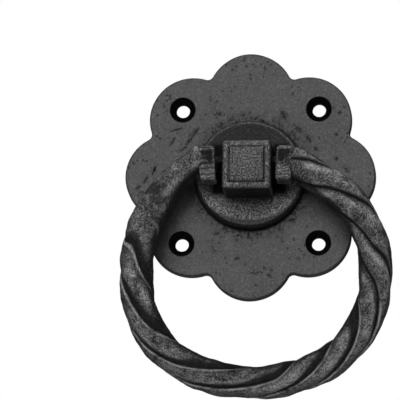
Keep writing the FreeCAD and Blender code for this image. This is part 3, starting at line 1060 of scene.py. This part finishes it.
def wear_and_light_masks(steps):
    """Dark grooves and dull patches, worn proud points, crests and lips that are burnished and partly
    painted highlight, and painted shade on the low flanks, the sides, the hollow facets of the eyes and
    over the pegs.
    """
    proudness = steps.node("ShaderNodeAttribute", attribute_name="proudness").outputs["Fac"]
    soot_and_shade = steps.node("ShaderNodeAttribute", attribute_name="soot_and_shade").outputs["Fac"]
    lip = steps.node("ShaderNodeAttribute", attribute_name="lip").outputs["Fac"]
    crest = steps.node("ShaderNodeAttribute", attribute_name="crest").outputs["Fac"]
    where = steps.node("ShaderNodeTexCoord").outputs["Object"]
    place = steps.node("ShaderNodeSeparateXYZ")
    steps.feed(place.inputs[0], where)
    # Painted shade over the pegs, in the gaps between the block and the eyes.
    right_face = block_width / 2 + right_eye_gap
    left_face = -block_width / 2 - left_eye_gap
    right = steps.ramp(place.outputs["X"], right_face, right_face - PEG_EDGE)
    left = steps.ramp(place.outputs["X"], left_face, left_face + PEG_EDGE)
    high = steps.ramp(place.outputs["Z"], -12 * MM, -8 * MM)
    peg = steps.maths("MULTIPLY", steps.maths("MULTIPLY", right, left), high)
    patchy = steps.ramp(steps.noise(where, 160, 3.0, 0.6), 0.3, 0.55)
    streaky = steps.ramp(steps.noise(where, 130, 3.0, 0.6), 0.4, 0.62)
    dull = steps.ramp(steps.noise(where, 95, 3.0, 0.6), 0.47, 0.36, 0, 0.75)
    speck = steps.ramp(steps.noise(where, 1500, 2.0, 0.6), 0.36, 0.6, 0.25, 1)
    # Burnished crests, with a painted highlight on the arms and near the left eye.
    burnish_and_highlight = steps.maths("MULTIPLY", steps.maths("MULTIPLY", crest, streaky), speck)
    proud = steps.maths("MULTIPLY", steps.ramp(proudness, 0.3, 1.0, 0, 0.7), speck)
    # Painted shade on the low flanks and the sides, soot in the grooves of the arms.
    soot_and_shade_share = steps.maths("MULTIPLY", soot_and_shade, 0.9)
    sunk = steps.ramp(proudness, -0.1, -0.8, 0, 0.85)
    # Wear and a painted highlight along the lips.
    bright_lip = steps.maths("MULTIPLY", steps.ramp(lip, 0.1, 0.9, 0, 0.85), patchy)
    masks = [(dull, RING_TONES["dull"]),
             (burnish_and_highlight, RING_TONES["burnish_and_highlight"]),
             (proud, RING_TONES["proud"]),
             (soot_and_shade_share, RING_TONES["soot_and_shade"]),
             (sunk, RING_TONES["sunk"]),
             (bright_lip, RING_TONES["lip"])]
    for side, gap in ((1, right_eye_gap), (-1, left_eye_gap)):
        # Painted shade in the hollow facet high on each eye's front.
        facet = eye_centre(side, gap) + FACET_PLACE
        off_x = steps.maths("ABSOLUTE", steps.maths("SUBTRACT", place.outputs["X"], facet.x))
        off_z = steps.maths("ABSOLUTE", steps.maths("SUBTRACT", place.outputs["Z"], facet.z))
        inside = steps.maths("MULTIPLY", steps.ramp(off_x, *FACET_EDGE),
                             steps.ramp(off_z, *FACET_EDGE))
        front = steps.ramp(place.outputs["Y"], facet.y - 2 * MM, facet.y - 4 * MM, 0, 0.8)
        masks.append((steps.maths("MULTIPLY", inside, front), RING_TONES["facet"]))
    return masks + [(peg, RING_TONES["peg"])]


def rose_masks(steps):
    """Soot and painted shade round the collar, painted contact shade at its edge, the ring's painted
    shadow, dark dents, painted shade on the outline and dark countersinks.
    """
    where = steps.node("ShaderNodeTexCoord").outputs["Object"]
    flat = steps.node("ShaderNodeVectorMath", operation="MULTIPLY")
    steps.feed(flat.inputs[0], where)
    flat.inputs[1].default_value = (1, 0, 1)
    mirrored = steps.node("ShaderNodeVectorMath", operation="ABSOLUTE")
    steps.feed(mirrored.inputs[0], flat.outputs[0])
    off_hole = steps.node("ShaderNodeVectorMath", operation="DISTANCE")
    steps.feed(off_hole.inputs[0], mirrored.outputs[0])
    hole = screw_circle / 2 * math.sqrt(0.5)
    off_hole.inputs[1].default_value = (hole, 0, hole)
    in_hole = steps.ramp(off_hole.outputs["Value"],
                         screw_head / 2 + 0.25 * MM, screw_head / 2 - 0.15 * MM)
    reach = steps.node("ShaderNodeVectorMath", operation="LENGTH")
    steps.feed(reach.inputs[0], flat.outputs[0])
    # Darker in a ragged band round the collar: soot and painted shade.
    ragged = steps.maths("ADD", reach.outputs["Value"],
                         steps.maths("MULTIPLY", steps.noise(where, 260, 4.0, 0.7), 14 * MM))
    soot_and_shade = steps.ramp(ragged, collar_radius + 14 * MM, collar_radius + 7 * MM, 0, 0.95)
    broken = steps.ramp(steps.noise(where, 800, 3.0, 0.6), 0.4, 0.6, 0.3, 1)
    soot_and_shade = steps.maths("MULTIPLY", soot_and_shade, broken)
    # Painted contact shade where the plate meets the collar.
    close = steps.ramp(reach.outputs["Value"],
                       collar_radius + 1 * MM, collar_radius + 0.3 * MM, 0, 0.85)
    # The ring's painted shadow on the plate, along the inside of the bar.
    off_ring = steps.node("ShaderNodeVectorMath", operation="DISTANCE")
    steps.feed(off_ring.inputs[0], flat.outputs[0])
    off_ring.inputs[1].default_value = (ring_lean, 0, ring_middle.z)
    behind = steps.maths("ADD", off_ring.outputs["Value"],
                         steps.maths("MULTIPLY", steps.noise(where, 300, 4.0, 0.7), 6 * MM))
    behind = steps.ramp(behind, 37 * MM, 44 * MM, 0, 0.75)
    behind = steps.maths("MULTIPLY", behind, steps.ramp(off_ring.outputs["Value"], 51 * MM, 48 * MM))
    proudness = steps.node("ShaderNodeAttribute", attribute_name="proudness").outputs["Fac"]
    dented = steps.ramp(proudness, -0.25, -0.9, 0, 0.8)
    # Painted shade on proud points, above all the rounded outline, clear of the screw holes.
    away = steps.ramp(off_hole.outputs["Value"], screw_head / 2 + 1 * MM, screw_head / 2 + 2 * MM)
    outline = steps.maths("MULTIPLY", steps.ramp(proudness, 0.4, 0.9, 0, 0.55), away)
    return ((soot_and_shade, ROSE_TONES["soot_and_shade"]),
            (behind, ROSE_TONES["behind"]),
            (dented, ROSE_TONES["dented"]),
            (outline, ROSE_TONES["outline"]),
            (close, ROSE_TONES["close"]),
            (in_hole, ROSE_TONES["in_hole"]))


def knuckle_masks(steps):
    """Painted shade beside and under the block, on the collar's upper half, on its lower side and in a
    crescent at its lower lip, and a painted highlight on the lower dish.
    """
    where = steps.node("ShaderNodeTexCoord").outputs["Object"]
    place = steps.node("ShaderNodeSeparateXYZ")
    steps.feed(place.inputs[0], where)
    across = steps.maths("ABSOLUTE", place.outputs["X"])
    # Painted shade on the collar in the gaps beside the block.
    beside = steps.maths("MULTIPLY", steps.ramp(across, 9.2 * MM, 9.8 * MM),
                         steps.ramp(across, 17 * MM, 14 * MM))
    level = steps.maths("ABSOLUTE", steps.maths("SUBTRACT", place.outputs["Z"], 2 * MM))
    beside = steps.maths("MULTIPLY", beside, steps.ramp(level, 11.5 * MM, 9.5 * MM))
    behind = steps.ramp(place.outputs["Y"], -29 * MM, -27.5 * MM, 0, 0.97)
    flat = steps.node("ShaderNodeVectorMath", operation="MULTIPLY")
    steps.feed(flat.inputs[0], where)
    flat.inputs[1].default_value = (1, 0, 1)
    reach = steps.node("ShaderNodeVectorMath", operation="LENGTH")
    steps.feed(reach.inputs[0], flat.outputs[0])
    within = steps.ramp(reach.outputs["Value"], dish_radius + 0.1 * MM, dish_radius - 0.3 * MM)
    # Painted shade on the upper half of the dish.
    upper = steps.maths("MULTIPLY", steps.ramp(place.outputs["Z"], -1 * MM, 9 * MM), within)
    on_collar = steps.ramp(place.outputs["Y"], -14 * MM, -12 * MM, 0, 0.85)
    low = steps.ramp(place.outputs["Z"], 4 * MM, -4 * MM)
    # Painted shade on the collar's lower side.
    side = steps.ramp(reach.outputs["Value"], collar_radius - 0.5 * MM, collar_radius - 0.2 * MM, 0, 0.9)
    off_lip = steps.node("ShaderNodeVectorMath", operation="DISTANCE")
    steps.feed(off_lip.inputs[0], flat.outputs[0])
    off_lip.inputs[1].default_value = (0, 0, 8.3 * MM)
    # Painted shade in a crescent along the lower lip of the dish.
    crescent = steps.ramp(off_lip.outputs["Value"], 26.6 * MM, 28 * MM, 0, 0.8)
    # Painted shade on the underside of the block.
    under = steps.maths("MULTIPLY", steps.ramp(place.outputs["Z"], -9.5 * MM, -9.8 * MM),
                        steps.ramp(across, 10.6 * MM, 10.2 * MM))
    under = steps.maths("MULTIPLY", under, behind)
    under = steps.maths("MULTIPLY", under, steps.ramp(place.outputs["Y"], -9 * MM, -11 * MM))
    under = steps.maths("MULTIPLY", under, steps.ramp(place.outputs["Z"], -10.6 * MM, -10.2 * MM))
    # Painted highlight, broken into glints, on the lower dish.
    lower_highlight = steps.maths("MULTIPLY", steps.ramp(place.outputs["Z"], -9 * MM, -12 * MM), within)
    speck = steps.ramp(steps.noise(where, 1500, 2.0, 0.6), 0.36, 0.6, 0, 0.5)
    return ((steps.maths("MULTIPLY", upper, on_collar), KNUCKLE_TONES["upper"]),
            (steps.maths("MULTIPLY", lower_highlight, speck), KNUCKLE_TONES["lower_highlight"]),
            (steps.maths("MULTIPLY", crescent, low), KNUCKLE_TONES["crescent"]),
            (steps.maths("MULTIPLY", side, low), KNUCKLE_TONES["side"]),
            (steps.maths("MULTIPLY", beside, behind), KNUCKLE_TONES["beside"]),
            (under, KNUCKLE_TONES["under"]))


def mark_proudness(piece, rounds, depth):
    """Stores how far each point stands proud (+) or sunk (-) of the smoothed piece."""
    mesh = piece.data
    count = len(mesh.vertices)
    places = np.empty(count * 3)
    mesh.vertices.foreach_get("co", places)
    places = places.reshape(-1, 3)
    normals = np.empty(count * 3)
    mesh.vertices.foreach_get("normal", normals)
    normals = normals.reshape(-1, 3)
    pairs = np.empty(len(mesh.edges) * 2, int)
    mesh.edges.foreach_get("vertices", pairs)
    ends = np.concatenate([pairs.reshape(-1, 2), pairs.reshape(-1, 2)[:, ::-1]])
    neighbours = np.maximum(np.bincount(ends[:, 0], minlength=count), 1)[:, None]
    smooth = places.copy()
    for _ in range(rounds):
        total = np.stack([np.bincount(ends[:, 0], weights=smooth[ends[:, 1], axis], minlength=count)
                          for axis in range(3)], axis=1)
        smooth = total / neighbours
    proud = np.clip(((places - smooth) * normals).sum(axis=1) / depth, -1, 1)
    proudness = mesh.attributes.new("proudness", "FLOAT", "POINT")
    proudness.data.foreach_set("value", proud.astype(np.float32))


def dress(piece, material):
    piece.data.materials.clear()
    piece.data.materials.append(material)


CRISP_ANGLE = 40

ring = make_ring()
rose = make_rose()
knuckle = make_knuckle()
for piece, body, slot, node in (
        (ring, "swinging_ring", "ring_iron", "ring"),
        (rose, "rose", "plate_iron", "backplate"),
        (knuckle, "turning_knuckle", "knuckle_iron", "knuckle")):
    smooth_by_angle(piece, CRISP_ANGLE)
    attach(piece, body)
    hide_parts(node)

mark_proudness(ring, rounds=40, depth=0.35 * MM)
mark_proudness(rose, rounds=12, depth=0.10 * MM)

# The skin values are the strength of the grain, the mottle, the pits and the dimples.
dress(ring, finish_iron("hammered ring iron", dark=0.02, light=0.16, roughness=(0.34, 0.6),
                        metal=0.85, skin_values=(1.2, 0.3, 0.5, 0.4),
                        bump_depth=0.42 * MM, shade=wear_and_light_masks))
dress(rose, finish_iron("cast rose iron", dark=0.018, light=0.072, roughness=(0.45, 0.65),
                        metal=0.45, skin_values=(0.6, 0.4, 0.7, 0.3),
                        bump_depth=0.22 * MM, shade=rose_masks))
dress(knuckle, finish_iron("cast knuckle iron", dark=0.022, light=0.13, roughness=(0.36, 0.54),
                           metal=0.85, skin_values=(1.2, 0.3, 0.3, 0.2),
                           bump_depth=0.16 * MM, shade=knuckle_masks))
fittings = finish_iron("oiled washer steel", dark=0.16, light=0.24, roughness=(0.3, 0.45),
                       metal=0.9, skin_values=(0.3, 0.3, 0.2, 0.0), bump_depth=0.03 * MM)
spring = finish_iron("blued spring steel", dark=0.05, light=0.08, roughness=(0.25, 0.4),
                     metal=0.9, skin_values=(0.3, 0.3, 0.1, 0.0), bump_depth=0.02 * MM)
dress(frame["nodes"]["back_washer"], fittings)
dress(frame["nodes"]["retaining_ring"], spring)


FLOOR_SIZE = 8
FLOOR_HEIGHT = -0.62


def add_floor():
    """Pale floor well below the handle; the camera looks up past it."""
    bm = bmesh.new()
    bmesh.ops.create_grid(bm, x_segments=1, y_segments=1, size=FLOOR_SIZE)
    bmesh.ops.translate(bm, verts=bm.verts, vec=(0, 0, FLOOR_HEIGHT))
    floor = as_object(bm, "studio_floor")
    material, _, shader = new_finish("pale floor")
    shader.inputs["Base Color"].default_value = (0.8, 0.8, 0.8, 1)
    shader.inputs["Roughness"].default_value = 0.9
    dress(floor, material)


add_floor()
add_camera()
add_surroundings()
add_lamp("key", place=(-0.15, -1.3, 0.45), width=1.3, height=0.8, power=26)
add_lamp("top", place=(-0.1, 0.1, 1.2), width=0.8, height=0.4, power=8)


# Standard view transform

bpy.context.scene.view_settings.view_transform = "Standard"
